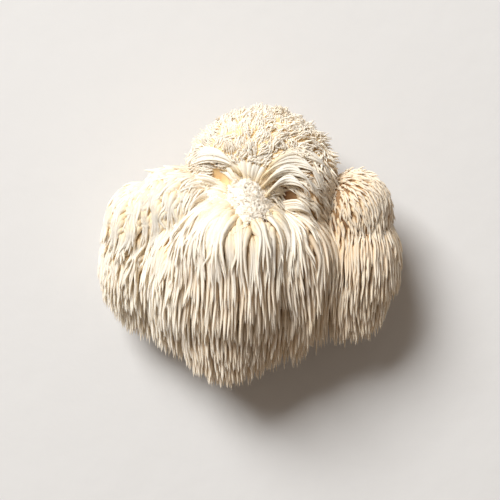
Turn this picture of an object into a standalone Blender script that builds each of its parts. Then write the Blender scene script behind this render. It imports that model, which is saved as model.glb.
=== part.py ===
"""A lion's mane fruit body, grown as one piece, lying with its growth scar up.

The flesh is one closed form: every point of a sphere is pushed out from a low heart as far as
the swollen heads reach. Blunt spines grow out of it, comb away from the scar and hang towards
-Y, and a union makes them one body with the flesh. The underside is pressed flat where it rests.
Lengths are in millimetres until a mesh is made.
"""
import math

import bmesh
import bpy
import numpy as np
from mathutils import kdtree

MM = 0.001
SEED = 1

# Overall size of the fruit body, which the finished mesh is brought to exactly
WIDTH = 130.0
LENGTH = 121.0
HEIGHT = 68.0

# Where the flesh grew from, low in the body, and the growth scar seen from above: its middle,
# and how far round it no spine stands
HEART = np.array([0.0, 2.0, 14.0])
SCAR = np.array([0.0, 19.0])
SPINE_FREE_RADIUS = 11.0

# Each head: its middle, its radii, and the length of its spines
HEADS = {
    "core": ((0, -1, 24), (44, 33, 27), 14),
    "crown": ((5, 34, 30), (26, 19, 25), 4),
    "crown_left": ((-11, 33, 30), (13, 12, 19), 4),
    "crown_right": ((22, 25, 32), (13, 18, 21), 6),
    "crown_front": ((0, 21, 34), (16, 12, 19), 6),
    "left_top": ((-29, 17, 31), (16, 14, 19), 9),
    "left_upper": ((-45, 11, 26), (13, 14, 16), 9),
    "left_side": ((-47, -4, 21), (14, 15, 16), 11),
    "left_inner": ((-38, -3, 24), (13, 14, 14), 11),
    "left_low": ((-43, -12, 16), (13, 14, 13), 11),
    "front_top": ((-4, 3, 40), (23, 18, 25), 24),
    "front_left": ((-24, -3, 33), (16, 17, 20), 19),
    "front_right": ((18, 0, 33), (15, 18, 22), 22),
    "front_mid": ((-6, -17, 30), (25, 15, 23), 16),
    "front_low": ((-9, -27, 27), (18, 15, 19), 13),
    "low_left": ((-28, -17, 22), (14, 14, 16), 13),
    "right_top": ((44, 16, 30), (14, 14, 18), 7),
    "right_mid": ((47, 1, 27), (14, 15, 19), 15),
    "right_inner": ((38, 4, 30), (9, 17, 13), 12),
    "right_low": ((42, -13, 23), (15, 13, 16), 13),
}
HEAD_MIDDLES = np.array([head[0] for head in HEADS.values()], float)
HEAD_RADII = np.array([head[1] for head in HEADS.values()], float)
SPINE_LENGTHS = np.array([head[2] for head in HEADS.values()], float)
BLEND = 1.2  # how softly two heads meet in a crease
SHOULDER = 0.25  # how fast a head fades beside itself
HEAD_MIX = 3.0  # how far into a neighbour's ground a head's spine length carries
NORMAL_STEP = 0.4  # the step over which the slope of the flesh is read
FACING_UP = (0.2, 0.6)  # from where to where a direction's Z changes to that of the top

# Hollows at the top: middle in X and Y, radius, depth
HOLLOWS = (
    (16.8, 19.6, 4.2, 6.5),
    (-11.3, 28.6, 3.6, 3.5),
)

# Cuts along each side of the cube that the flesh is blown from
FLESH_CUTS = 12

# Golden angle, which spreads things evenly over a disc or a sphere
GOLDEN_ANGLE = math.pi * (3.0 - math.sqrt(5.0))

# Spines: from where to where in Y they change to those of the crown
CROWN_START = 24.0
CROWN_FULL = 36.0
SPINE_SPACING = 11.0
CROWN_SPACING = 8.5
SPINE_RADIUS = 2.6
CROWN_SPINE_RADIUS = 2.3
SPINE_BREADTH = 1.75
TIP_SHARE = 0.3
SPINE_RINGS = 4
ROOT_DEPTH = 2.6
SPINE_LIFT = math.radians(9.0)
# How thick a spine is at these shares of its length, against its own radius
TAPER_PLACES = (0.0, 0.3, 0.7, 1.0)
TAPER = (1.1, 1.0, 0.75, TIP_SHARE)
# Over which share of its length a spine bends, how far it leans from the start, and how deep
# it may sink into the flesh against its own radius
BEND = (-0.15, 0.45)
FIRST_LEAN = 0.25
CLEARANCE = 0.4
# How uneven the lengths and radii of the spines are
UNEVENNESS = 0.15
# Spines hang towards -Y, and on the crown they are pulled away from the scar this much more
HANG_PULL = 0.08
CROWN_PULL = 2.4
PULL_START = 2.0
PULL_FULL = 34.0
# Beside the crown that pull fades between these distances from its middle
PULL_MIDDLE = 4.0
PULL_NEAR = 16.0
PULL_FAR = 30.0
PULL_FADE = 0.75
ROOT_CANDIDATES = 12000
LOWEST_ROOT = 3.0

# Ribs that run from the scar up to the crown: angle from +Y towards +X, and how far they reach
RIBS = ((-58, 21), (-34, 20), (-14, 22), (4, 21), (22, 20), (44, 24), (70, 20))
RIB_START = 4.8
RIB_RADIUS = 2.0
RIB_RISE = 0.6
RIB_RINGS = 5
RIB_TAPER = (0.9, 1.0, 0.6)
RIB_HEIGHT = 0.8 * HEIGHT  # about how high they lie

# Lumps of torn flesh on the scar
SCAR_LUMPS = 9
SCAR_LUMP_RADIUS = 3.6
SCAR_LUMP_SPREAD = 6.0
SCAR_LUMP_SIZES = (0.75, 1.1)
SCAR_LUMP_ROUGHNESS = (0.85, 1.1)

# The part of the body below this height is pressed flat
REST_CUT = 0.0
REST_PRESS = 1.6
CUTTER_SIDE = 0.3

FLESH_COLOUR = (0.86, 0.76, 0.60, 1.0)
FLESH_ROUGHNESS = 0.65


def smooth(value, low, high):
    share = np.clip((value - low) / (high - low), 0.0, 1.0)
    return share * share * (3.0 - 2.0 * share)


def unit(vectors):
    return vectors / np.maximum(np.linalg.norm(vectors, axis=-1, keepdims=True), 1e-9)


def head_reaches(directions):
    """How far each head reaches from the heart along each direction."""
    slopes = directions[:, None, :] / HEAD_RADII
    offsets = (HEART - HEAD_MIDDLES) / HEAD_RADII
    a = (slopes * slopes).sum(-1)
    b = (slopes * offsets).sum(-1)
    c = (offsets * offsets).sum(-1)
    nearest = -b / a
    miss = c - b * b / a
    hit = nearest + np.sqrt(np.clip(1.0 - miss, 0.0, None) / a)
    return np.where(miss > 1.0, nearest * np.exp((1.0 - miss) / SHOULDER), hit)


def reach(directions):
    """How far the flesh reaches from the heart along each direction."""
    reaches = head_reaches(directions)
    top = reaches.max(1)
    far = top + BLEND * np.log(np.exp((reaches - top[:, None]) / BLEND).sum(1))
    points = HEART + directions * far[:, None]
    facing_up = smooth(directions[:, 2], *FACING_UP)
    for x, y, radius, depth in HOLLOWS:
        away = np.hypot(points[:, 0] - x, points[:, 1] - y) / radius
        far = far - depth * np.exp(-away * away) * facing_up
    return far


def from_heart(points):
    offsets = points - HEART
    distances = np.linalg.norm(offsets, axis=1)
    return offsets / distances[:, None], distances


def height_above_flesh(points):
    directions, distances = from_heart(points)
    return distances - reach(directions)


def normals_at(points):
    step = NORMAL_STEP
    here = height_above_flesh(points)
    slopes = [height_above_flesh(points + step * axis) - here for axis in np.eye(3)]
    return unit(np.stack(slopes, 1))


def comb_direction(points):
    """Away from the scar on the crown, and towards -Y everywhere else."""
    away = np.zeros_like(points)
    away[:, :2] = points[:, :2] - SCAR
    beside = smooth(np.abs(points[:, 0] - PULL_MIDDLE), PULL_NEAR, PULL_FAR)
    pull = CROWN_PULL * smooth(points[:, 1], PULL_START, PULL_FULL) * (1.0 - PULL_FADE * beside)
    return unit(unit(away) * (HANG_PULL + pull)[:, None] + np.array([0.0, -1.0, 0.0]))


def even_directions(count):
    """Directions spread evenly over a sphere, along a spiral of golden angles."""
    order = np.arange(count) + 0.5
    height = 1.0 - 2.0 * order / count
    angle = GOLDEN_ANGLE * order
    ring = np.sqrt(1.0 - height * height)
    return np.stack([ring * np.cos(angle), ring * np.sin(angle), height], 1)


def spine_roots(random):
    """Points on the flesh that keep their distance from each other."""
    directions = even_directions(ROOT_CANDIDATES)
    points = HEART + directions * reach(directions)[:, None]
    from_scar = np.hypot(points[:, 0] - SCAR[0], points[:, 1] - SCAR[1])
    on_scar = (from_scar < SPINE_FREE_RADIUS) & (points[:, 2] > HEART[2])
    points = points[(points[:, 2] > LOWEST_ROOT) & ~on_scar]
    tree = kdtree.KDTree(len(points))
    for index, point in enumerate(points):
        tree.insert(point, index)
    tree.balance()
    crown = smooth(points[:, 1], CROWN_START, CROWN_FULL)
    spacing = SPINE_SPACING + (CROWN_SPACING - SPINE_SPACING) * crown
    free = np.ones(len(points), bool)
    kept = []
    for index in random.permutation(len(points)):
        if not free[index]:
            continue
        kept.append(index)
        for _, near, _ in tree.find_range(points[index], spacing[index]):
            free[near] = False
    return points[sorted(kept)]


def spine_paths(roots, random):
    """The middle line of each spine from root to tip, and its radius along that line."""
    count = len(roots)
    directions, _ = from_heart(roots)
    reaches = head_reaches(directions)
    shares = np.exp((reaches - reaches.max(1)[:, None]) / HEAD_MIX)
    shares /= shares.sum(1)[:, None]
    length = (shares * SPINE_LENGTHS).sum(1) * random.uniform(1.0 - UNEVENNESS, 1.0 + UNEVENNESS, count)
    crown = smooth(roots[:, 1], CROWN_START, CROWN_FULL)
    base = SPINE_RADIUS + (CROWN_SPINE_RADIUS - SPINE_RADIUS) * crown
    base *= random.uniform(1.0 - UNEVENNESS, 1.0 + UNEVENNESS, count)
    normals = normals_at(roots)
    place = roots - normals * ROOT_DEPTH
    paths = [place]
    steps = SPINE_RINGS - 1
    for ring in range(1, SPINE_RINGS):
        share = ring / steps
        # A spine leaves the flesh square to it and soon bends over to hang
        bend = smooth(share, *BEND)
        comb = comb_direction(place)
        upright = normals_at(place)
        outwards = (comb * upright).sum(1)[:, None]
        along = unit(comb - upright * np.minimum(outwards, 0.0))
        heading = unit(normals * (1.0 - bend) + along * (bend + FIRST_LEAN))
        place = place + heading * ((length + ROOT_DEPTH) / steps)[:, None]
        outward, distance = from_heart(place)
        floor = reach(outward) + base * CLEARANCE + math.sin(SPINE_LIFT) * length * share
        place = np.where((distance < floor)[:, None], HEART + outward * floor[:, None], place)
        place[:, 2] = np.maximum(place[:, 2], REST_CUT - REST_PRESS)
        paths.append(place)
    taper = np.interp(np.linspace(0.0, 1.0, SPINE_RINGS), TAPER_PLACES, TAPER)
    return np.stack(paths, 1), base[:, None] * taper


def rib_paths():
    """Ribs lying on the flesh, from the rim of the scar out onto the crown."""
    share = np.linspace(0.0, 1.0, RIB_RINGS)
    paths = []
    for angle, far in RIBS:
        turn = math.radians(angle)
        out = RIB_START + (far - RIB_START) * share
        x = SCAR[0] + out * math.sin(turn)
        y = SCAR[1] + out * math.cos(turn)
        guess = np.stack([x, y, np.full(RIB_RINGS, RIB_HEIGHT)], 1)
        outward, _ = from_heart(guess)
        paths.append(HEART + outward * (reach(outward) + RIB_RISE)[:, None])
    radii = RIB_RADIUS * np.interp(share, (0.0, 0.5, 1.0), RIB_TAPER)
    return np.array(paths), np.tile(radii, (len(RIBS), 1))


def add_lock(mesh, path, radii):
    """A closed tapered lock along a path: a ridge outwards, a broad flat side inwards, a point at its tip."""
    sides = 3
    headings = unit(np.gradient(path, axis=0))
    across = unit(np.cross(path[-1] - path[0], path[-1] - HEART))
    rings = []
    for place, heading, radius in zip(path, headings, radii):
        first = unit(across - heading * across.dot(heading))
        second = np.cross(heading, first)
        ring = []
        for side in range(sides):
            turn = 2.0 * math.pi * side / sides - math.pi / 2.0
            offset = first * math.cos(turn) * SPINE_BREADTH + second * math.sin(turn)
            ring.append(mesh.verts.new((place + offset * radius) * MM))
        rings.append(ring)
    for lower, upper in zip(rings, rings[1:]):
        for side in range(sides):
            after = (side + 1) % sides
            mesh.faces.new((lower[side], lower[after], upper[after], upper[side]))
    mesh.faces.new(rings[0][::-1])
    tip = mesh.verts.new((path[-1] + headings[-1] * radii[-1] * 1.5) * MM)
    for side in range(sides):
        mesh.faces.new((rings[-1][side], rings[-1][(side + 1) % sides], tip))


def add_scar_lumps(mesh, random):
    """Rounded knobs of torn flesh, heaped on the scar."""
    for lump in range(SCAR_LUMPS):
        away = SCAR_LUMP_SPREAD * math.sqrt(lump / SCAR_LUMPS)
        turn = GOLDEN_ANGLE * lump
        spot = np.array([[SCAR[0] + away * math.cos(turn), SCAR[1] + away * math.sin(turn), HEIGHT]])
        outward, _ = from_heart(spot)
        middle = (HEART + outward * reach(outward)[:, None])[0]
        knob = bmesh.ops.create_icosphere(mesh, subdivisions=1, radius=1.0)["verts"]
        size = SCAR_LUMP_RADIUS * random.uniform(*SCAR_LUMP_SIZES)
        for vertex in knob:
            offset = np.array(vertex.co) * size * random.uniform(*SCAR_LUMP_ROUGHNESS)
            vertex.co = (middle + offset) * MM


def flesh_material():
    material = bpy.data.materials.new("lions_mane_flesh")
    material.use_nodes = True
    shader = material.node_tree.nodes["Principled BSDF"]
    shader.inputs["Base Color"].default_value = FLESH_COLOUR
    shader.inputs["Roughness"].default_value = FLESH_ROUGHNESS
    shader.inputs["Metallic"].default_value = 0.0
    return material


def new_object(name, mesh):
    data = bpy.data.meshes.new(name)
    bmesh.ops.recalc_face_normals(mesh, faces=mesh.faces[:])
    mesh.to_mesh(data)
    mesh.free()
    made = bpy.data.objects.new(name, data)
    bpy.context.scene.collection.objects.link(made)
    return made


def make_flesh():
    """A cube cut into an even grid, blown out to the reach of the heads."""
    mesh = bmesh.new()
    bmesh.ops.create_cube(mesh, size=2.0)
    bmesh.ops.subdivide_edges(mesh, edges=mesh.edges[:], cuts=FLESH_CUTS, use_grid_fill=True)
    corners = np.array([vertex.co for vertex in mesh.verts])
    # The tangent evens out the grid once it is pushed onto a sphere
    directions = unit(np.tan(corners * math.pi / 4.0))
    places = HEART + directions * reach(directions)[:, None]
    places[:, 2] = np.maximum(places[:, 2], REST_CUT - REST_PRESS)
    for vertex, place in zip(mesh.verts, places):
        vertex.co = place * MM
    return new_object("fruit_body", mesh)


def make_outgrowths(random):
    """Spines, ribs and scar lumps, still overlapping each other."""
    mesh = bmesh.new()
    for paths, radii in (spine_paths(spine_roots(random), random), rib_paths()):
        for path, along in zip(paths, radii):
            add_lock(mesh, path, along)
    add_scar_lumps(mesh, random)
    return new_object("outgrowths", mesh)


def apply_boolean(target, operation, other):
    joint = target.modifiers.new(operation.lower(), "BOOLEAN")
    joint.operation = operation
    joint.object = other
    joint.solver = "EXACT"
    joint.use_self = operation == "UNION"
    with bpy.context.temp_override(object=target, active_object=target):
        bpy.ops.object.modifier_apply(modifier=joint.name)
    bpy.data.objects.remove(other)


def keep_outer_skin(target):
    """Drops every closed shell but the largest: they line pockets between crossed spines."""
    mesh = bmesh.new()
    mesh.from_mesh(target.data)
    left = set(mesh.faces)
    shells = []
    while left:
        waiting = [left.pop()]
        shell = list(waiting)
        while waiting:
            for edge in waiting.pop().edges:
                if len(edge.link_faces) != 2:
                    continue
                for face in edge.link_faces:
                    if face in left:
                        left.discard(face)
                        shell.append(face)
                        waiting.append(face)
        shells.append(shell)
    shells.sort(key=len)
    for shell in shells[:-1]:
        bmesh.ops.delete(mesh, geom=shell, context="FACES")
    mesh.to_mesh(target.data)
    mesh.free()


def cut_rest_face(target):
    """Cuts away what lies below the resting plane."""
    middle = REST_CUT * MM - CUTTER_SIDE / 2.0
    bpy.ops.mesh.primitive_cube_add(size=CUTTER_SIDE, location=(0.0, 0.0, middle))
    apply_boolean(target, "DIFFERENCE", bpy.context.object)


def fit_to_size(target):
    """Centres the footprint on the Z axis, stands it on the ground and brings it to the overall size."""
    places = np.array([vertex.co for vertex in target.data.vertices])
    low, high = places.min(0), places.max(0)
    origin = np.array([(low[0] + high[0]) / 2.0, (low[1] + high[1]) / 2.0, low[2]])
    sides = np.array([WIDTH, LENGTH, HEIGHT]) * MM
    places = (places - origin) * sides / (high - low)
    target.data.vertices.foreach_set("co", places.astype(np.float32).ravel())
    target.data.update()


def clear_scene():
    for thing in list(bpy.data.objects):
        bpy.data.objects.remove(thing)


def main():
    clear_scene()
    random = np.random.default_rng(SEED)
    fruit_body = make_flesh()
    apply_boolean(fruit_body, "UNION", make_outgrowths(random))
    cut_rest_face(fruit_body)
    keep_outer_skin(fruit_body)
    fit_to_size(fruit_body)
    fruit_body.data.materials.clear()
    fruit_body.data.materials.append(flesh_material())


main()
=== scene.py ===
"""Lion's mane mushroom: the looks of the fruit body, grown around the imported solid.

The flesh is the form that the solid has. Spines, wool, ribs and the torn scar grow on it, each
kind in a piece of its own. Growth is worked out in millimetres, and everything is then fitted
to the solid's box in metres. The spines are laid out in numbers, because there are thousands
and each one follows the flesh under it.
"""
import math
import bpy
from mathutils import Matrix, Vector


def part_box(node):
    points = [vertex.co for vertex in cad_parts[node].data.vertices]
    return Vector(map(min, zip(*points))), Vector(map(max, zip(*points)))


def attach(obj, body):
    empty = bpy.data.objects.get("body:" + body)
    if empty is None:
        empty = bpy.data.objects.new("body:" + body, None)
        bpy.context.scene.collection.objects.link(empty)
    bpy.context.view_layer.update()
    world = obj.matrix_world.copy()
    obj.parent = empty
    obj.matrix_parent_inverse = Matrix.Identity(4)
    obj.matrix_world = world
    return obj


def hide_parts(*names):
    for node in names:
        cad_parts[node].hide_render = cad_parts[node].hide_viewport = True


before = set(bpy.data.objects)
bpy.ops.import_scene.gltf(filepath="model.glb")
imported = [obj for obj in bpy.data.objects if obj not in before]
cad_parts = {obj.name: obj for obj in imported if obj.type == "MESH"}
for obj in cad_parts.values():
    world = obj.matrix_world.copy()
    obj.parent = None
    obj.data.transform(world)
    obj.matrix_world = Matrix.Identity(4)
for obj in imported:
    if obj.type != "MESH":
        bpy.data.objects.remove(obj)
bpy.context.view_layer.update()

from types import SimpleNamespace

import bpy
import numpy as np
from mathutils import Vector, kdtree, noise

bl_info = {
    "name": "Lion's Mane Mushroom",
    "version": (1, 0, 0),
    "blender": (4, 5, 0),
    "location": "View3D > Sidebar > Mushroom",
    "description": "Grows a lion's mane fruit body with its flesh, scar, ribs and spines",
    "category": "Add Mesh",
}

MM = 0.001
NODE = "fruit_body"
BODY = "root"
X, Y, Z = 0, 1, 2
FULL_TURN = 2.0 * math.pi
GOLDEN_ANGLE = math.pi * (3.0 - math.sqrt(5.0))

# The photograph: its side in pixels, the pixel that the frame's origin falls on, and what one
# pixel covers on the mushroom
PHOTO_SIDE = 500
ORIGIN_PIXEL = (250.0, 246.0)
PIXEL_MM = 0.42
# Pixels count to the right and down, and the frame's X and Y run to the right and up
PHOTO_AXES = np.array([1.0, -1.0])
PHOTO_CORNER = np.array([-ORIGIN_PIXEL[0], ORIGIN_PIXEL[1]]) * PIXEL_MM

# Where the flesh grew from, low in the body, and the growth scar seen from above
HEART = np.array([0.0, 2.0, 14.0])
SCAR = np.array([0.0, 19.0])

# Each head: its middle, its radii, and its spines' length, radius, curl, spacing, how far
# they stand up at the root, and how steeply they rise off the flesh in degrees
HEADS = {
    "core": ((0, -1, 24), (44, 33, 27), 11, 0.66, 0.04, 1.8, 0.10, 14),
    "crown": ((5, 34, 30), (26, 19, 25), 2.4, 0.30, 0.80, 0.74, 0.50, 9),
    "crown_left": ((-11, 33, 30), (13, 12, 19), 2.2, 0.30, 0.80, 0.74, 0.50, 9),
    "crown_right": ((22, 25, 32), (13, 18, 21), 5.5, 0.44, 0.50, 1.25, 0.22, 10),
    "crown_front": ((0, 21, 34), (16, 12, 19), 5, 0.40, 0.40, 1.15, 0.20, 8),
    "left_top": ((-29, 17, 31), (16, 14, 19), 8, 0.82, 0.10, 1.6, 0.06, 7),
    "left_upper": ((-45, 11, 26), (13, 14, 16), 8, 0.82, 0.10, 1.6, 0.07, 8),
    "left_side": ((-47, -4, 21), (14, 15, 16), 9, 0.70, 0.05, 1.5, 0.05, 10),
    "left_inner": ((-38, -3, 24), (13, 14, 14), 9, 0.80, 0.06, 1.6, 0.05, 8),
    "left_low": ((-43, -12, 18), (13, 14, 11), 7.5, 0.60, 0.03, 1.4, 0.07, 15),
    "front_top": ((-4, 3, 40), (23, 18, 25), 20, 0.76, 0.06, 2.1, 0.05, 12),
    "front_left": ((-24, -3, 33), (16, 17, 20), 16, 0.76, 0.05, 2.0, 0.05, 12),
    "front_right": ((18, 0, 33), (15, 18, 22), 18, 0.70, 0.10, 2.0, 0.05, 12),
    "front_mid": ((-6, -17, 30), (25, 15, 23), 9.5, 0.68, 0.02, 1.65, 0.08, 18),
    "front_low": ((-9, -27, 27), (18, 15, 19), 8.0, 0.64, 0.01, 1.55, 0.08, 22),
    "low_left": ((-28, -17, 22), (14, 14, 16), 8.5, 0.66, 0.02, 1.5, 0.08, 18),
    "right_top": ((44, 16, 30), (14, 14, 18), 5.5, 0.50, 0.38, 1.25, 0.22, 9),
    "right_mid": ((47, 1, 27), (14, 15, 19), 11, 0.60, 0.10, 1.5, 0.08, 13),
    "right_inner": ((38, 4, 30), (9, 17, 13), 11, 0.54, 0.14, 1.5, 0.10, 10),
    "right_low": ((42, -13, 23), (15, 13, 16), 8.5, 0.62, 0.02, 1.55, 0.08, 18),
}
HEAD_MIDDLES = np.array([head[0] for head in HEADS.values()], float)
HEAD_RADII = np.array([head[1] for head in HEADS.values()], float)
SPINE_LENGTHS, SPINE_RADII, SPINE_CURLS, SPINE_SPACINGS, SPINE_STANDS, SPINE_LIFTS = np.array(
    [head[2:] for head in HEADS.values()], float).T
# How softly heads run into each other, how fast a head fades beside its own outline, over how
# many millimetres the spines of one head turn into those of the next, and the step that the
# flesh's slope is read over
BLEND = 1.2
SHOULDER = 0.25
HEAD_MIX = 3.0
SLOPE_STEP = 0.4

# Which piece the spines of a head belong to, by the first word of the head's name
PIECE_OF_HEAD = {
    "crown": "crown_wool",
    "left": "left_spines",
    "right": "right_spines",
    "front": "front_spines",
    "low": "front_spines",
    "core": "front_spines",
}
# Front spines above this height, and spines on flesh that faces down this much, have a piece
# of their own
UPPER_FRONT_Z = 45.0
UNDER_FACING = -0.25

# Hollows at the top: middle in X and Y, radius, depth; and how far up a direction from the
# heart has to point before they count
HOLLOWS = (
    (16.8, 19.6, 3.6, 6.5),
    (-11.3, 28.6, 3.0, 3.5),
    (6.3, 12.5, 2.2, 3.0),
)
HOLLOWS_FACE_UP = (0.2, 0.6)
# Pits that no spine stands in: middle in X and Y, radius. The two on the right are brown. The slot on the
# left is painted golden, a painted glow for the light that comes through its thin wall
BROWN_PITS = ((16.8, 20.0, 2.3), (6.3, 12.5, 2.0))
GOLDEN_SLOT = (-11.5, 28.8, 2.1)
BARE_PITS = (*BROWN_PITS, GOLDEN_SLOT)
# Spines are kept out of this share of a pit's radius above this height
PIT_CLEARANCE = 0.9
PITS_Z = 35.0

# Zones of the body: along each axis, where the zone starts and where it is full
ZONES = {
    "crown": ((Y, 27.0, 35.0), (Z, 8.0, 20.0)),
    "crown_right": ((X, -8.0, 14.0),),
    "back": ((Y, 2.0, 34.0),),
    "rim": ((Y, 2.0, 8.0), (Z, 46.0, 52.0)),
    "rim_back": ((Y, 4.0, 8.0),),
    "high": ((Z, 38.0, 46.0),),
    "left_locks": ((X, -16.0, -26.0), (Y, -8.0, 0.0), (Z, 22.0, 34.0)),
    # Painted light and shade: on the top and the lower left, which face the light, spines and flesh are
    # painted paler, and on the right of the top darker
    "pale_and_painted_lit_top": ((Y, -6.0, 14.0), (Z, 36.0, 48.0)),
    "painted_lit_left": ((X, -10.0, -32.0), (Y, -44.0, -20.0)),
    "ripe_and_painted_shade_right": ((X, 12.0, 26.0),),
}
# How much paleness the right of the top loses, as painted shade, and how pale the lower left is painted,
# as painted light
RIPE_AND_PAINTED_SHADE_SHARE = 0.7
PAINTED_LIT_LEFT_SHARE = 0.9

# Combing: the pull away from the scar against the pull towards -Y, at the front and at the
# back, where it weakens this far out from its middle line; and the drift that unsettles it
FRONT_PULL = 0.08
BACK_PULL = 2.4
PULL_MIDDLE_X = 4.0
PULL_SIDES = (16.0, 30.0)
PULL_SIDES_LOSS = 0.75
DRIFT_SCALE = 9.0
DRIFT_SEED = 5
DRIFT_WAVES = 4
DRIFT_STRENGTH = 0.6

# The crown's tufts: spots tried, spacing, the rise of a tuft and what it gains on the right,
# how far out it falls away, the share of the crown's zone where tufts begin, and a number that
# is more than there are tufts
TUFT_SPOTS = 8000
TUFT_SPACING = 3.2
TUFT_RISE = 0.9
TUFT_RISE_RIGHT = 0.6
TUFT_FALL = (0.3, 2.4)
TUFTS_BEGIN = 0.02
MANY_TUFTS = 5000

# Roots: spots tried all round, the step and half sides of the grid tried from above, how near
# the flesh and how high up a grid point has to end, and the lowest that any root stands
ROOT_SPOTS = 45000
GRID_STEP = 0.7
GRID_HALF_SIDES = (64.0, 60.0)
GRID_ERROR = 0.3
GRID_LOWEST = 20.0
LOWEST_ROOT = 1.5
# The top of the body, where the scar and the pits are, starts this far above the heart
TOP_ABOVE_HEART = 10.0
SPINE_FREE_RADIUS = 6.5
# Ribs take the place of spines in a fan behind the scar: its length, its middle line, its half
# width at the scar, and how fast it widens
FAN_REACH = 13.0
FRONT_MIDDLE_X = -2.0
FAN_HALF_WIDTH = 3.0
FAN_WIDENING = 0.75
# Where flesh faces down, spines stand this much farther apart and are this much shorter
UNDER_SPARSE_FACING = (0.1, 0.7)
UNDER_SPARSENESS = 0.4
UNDER_SHORT_FACING = (0.1, 0.6)
UNDER_SHORTNESS = 0.35
# The rim's extra spines stand across this half width, and closer by this share
RIM_HALF_WIDTH = 26.0
RIM_EDGE = (0.0, 8.0)
RIM_CROWDING = 0.35

# Spines: rings along each, sides of each tube, and the chance in length, thickness and lift
SPINE_RINGS = 8
SPINE_SIDES = 5
WOOL_SIDES = 4
LENGTH_CHANCE = (0.65, 1.25)
THICKNESS_CHANCE = (0.85, 1.2)
LIFT_CHANCE = (0.7, 1.4)
# They start this deep in the flesh, bend over between these shares of their length, and already
# run this much the combed way at the root
ROOT_DEPTH = 1.0
BENT_OVER = (-0.15, 0.45)
ROOT_RUN = 0.25
# How much their combing is unsettled, how much they sway, and how far a curl turns, in radians,
# and bows out
UNREST, UNREST_BY_CURL, UNREST_ON_LEFT = 0.05, 0.35, 0.12
SWAY, SWAY_BY_STAND = 0.02, 0.1
CURL_TURN = 5.0
CURL_BOW = 0.75
# Where combing runs sideways they hug the flesh; combed straight down they hardly do
HUG, HUG_SIDEWAYS = 0.12, 0.75
SIDEWAYS = (-0.95, -0.6)
# In the wool each tuft leans its own way, and a strand's swirl strays this little from its tuft's
TUFT_LEAN = 0.8
WOOL_SWAY = 0.5
WOOL_SWIRL_CHANCE = 0.12
# A spine's middle line keeps this many radii off the flesh and off the floor, is pushed out by
# this much a ring at most, and a tuft's rise fades by this share towards its tips
FLESH_GAP = 0.5
FLOOR_RADII = 0.8
LARGEST_PUSH = 2.0
RISE_FADE = 0.6

# Locks: the spacing of their leaders, the grip on plain spines and what the rim adds, how far
# the left lobes count as rim, and where along a spine the grip closes and opens again
LOCK_SPACING = 4.6
LOCK_GRIP, LOCK_GRIP_RIM = 0.04, 0.6
LEFT_AS_RIM = 0.9
GRIP_CLOSES = (0.05, 0.4)
GRIP_OPENS = (0.5, 1.0)
GRIP_OPENING = 0.75
TUFT_GRIP = 0.40
TUFT_GRIP_CLOSES = (0.1, 1.0)
# The rim's spines are swollen by this share at the root, over this stretch
RIM_SWELLING = 0.8
SWELLING_ENDS = (0.0, 0.7)

# Profiles: shares of the way from root to tip, and the share of the radius there
SPINE_PROFILE = ((0.0, 0.35, 0.65, 0.87, 1.0), (1.25, 1.12, 0.84, 0.48, 0.1))
WOOL_PROFILE = ((0.0, 0.4, 0.8, 1.0), (1.1, 1.0, 0.85, 0.4))
RIB_PROFILE = ((0.0, 0.5, 1.0), (1.0, 0.9, 0.4))
STRAND_PROFILE = ((0.0, 0.4, 0.85, 1.0), (1.2, 1.0, 0.7, 0.15))
# A tube's end point stands this many end radii past its last ring, and its sides are counted
# from a slanting line that no spine follows
TIP_RADII = 1.5
TUBE_SEAM = np.array([0.3, 0.2, 1.0])

# Ribs behind the scar: how many, their fan and how far one strays in degrees, where they start
# and end, how they sweep outwards, their radii, and how they bow up and sink into the flesh
RIB_RINGS = 12
RIB_SIDES = 8
RIB_COUNT = 14
RIB_FAN = (-38.0, 44.0)
RIB_STRAY = 3.0
RIB_START = 7.2
RIB_ENDS = (14.0, 19.5)
RIB_SWEEP = 0.3
RIB_RADII = (1.0, 1.7)
RIB_BOW = 0.4
RIB_SINK = 0.45

# Bundles of smooth strands round the scar: a route of photograph pixels, each with its height
# over the flesh in millimetres, the number of strands, their radius, and half the bundle's width
BUNDLES = {
    "arch over the right pit": (
        ((267, 197, 0.8), (273, 190, 2.0), (282, 184, 3.0),
         (293, 184, 3.4), (302, 191, 2.4), (307, 205, 0.8)), 10, 0.50, 1.6),
    "second arch on the right": (
        ((265, 188, 0.6), (273, 180, 1.6), (285, 175, 2.2),
         (298, 177, 2.2), (308, 187, 1.4), (314, 204, 0.6)), 10, 0.45, 2.0),
    "third arch on the right": (
        ((264, 180, 0.4), (276, 171, 1.0), (292, 167, 1.6),
         (307, 171, 1.8), (318, 185, 1.2), (325, 206, 0.6)), 10, 0.42, 2.4),
    "arch at the crown's foot": (
        ((270, 172, 0.4), (286, 162, 0.8), (304, 160, 1.4),
         (320, 168, 1.6), (331, 184, 1.2), (337, 205, 0.6)), 10, 0.42, 2.6),
    "arch behind the golden slot": (
        ((240, 178, 0.4), (233, 168, 1.2), (221, 162, 1.8),
         (207, 161, 2.0), (194, 166, 1.4), (184, 178, 0.6)), 17, 0.45, 2.9),
    "arch before the golden slot": (
        ((231, 192, 0.6), (223, 188, 1.4), (211, 184, 2.0),
         (198, 184, 1.8), (188, 191, 1.2), (182, 204, 0.6)), 14, 0.50, 2.5),
    "sweep to the left": (
        ((230, 199, 0.8), (221, 195, 1.4), (210, 194, 1.8),
         (199, 201, 1.4), (192, 214, 0.8), (189, 230, 0.6)), 10, 0.55, 2.2),
    "sweep to the front": (
        ((234, 211, 0.8), (227, 214, 1.4), (220, 223, 1.6),
         (214, 240, 1.2), (211, 257, 0.8), (210, 272, 0.5)), 9, 0.62, 2.6),
    "sweep before the right pit": (
        ((270, 209, 0.8), (277, 207, 1.6), (288, 205, 2.2),
         (300, 206, 2.2), (310, 215, 1.6), (316, 231, 1.0)), 11, 0.50, 2.0),
}
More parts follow.
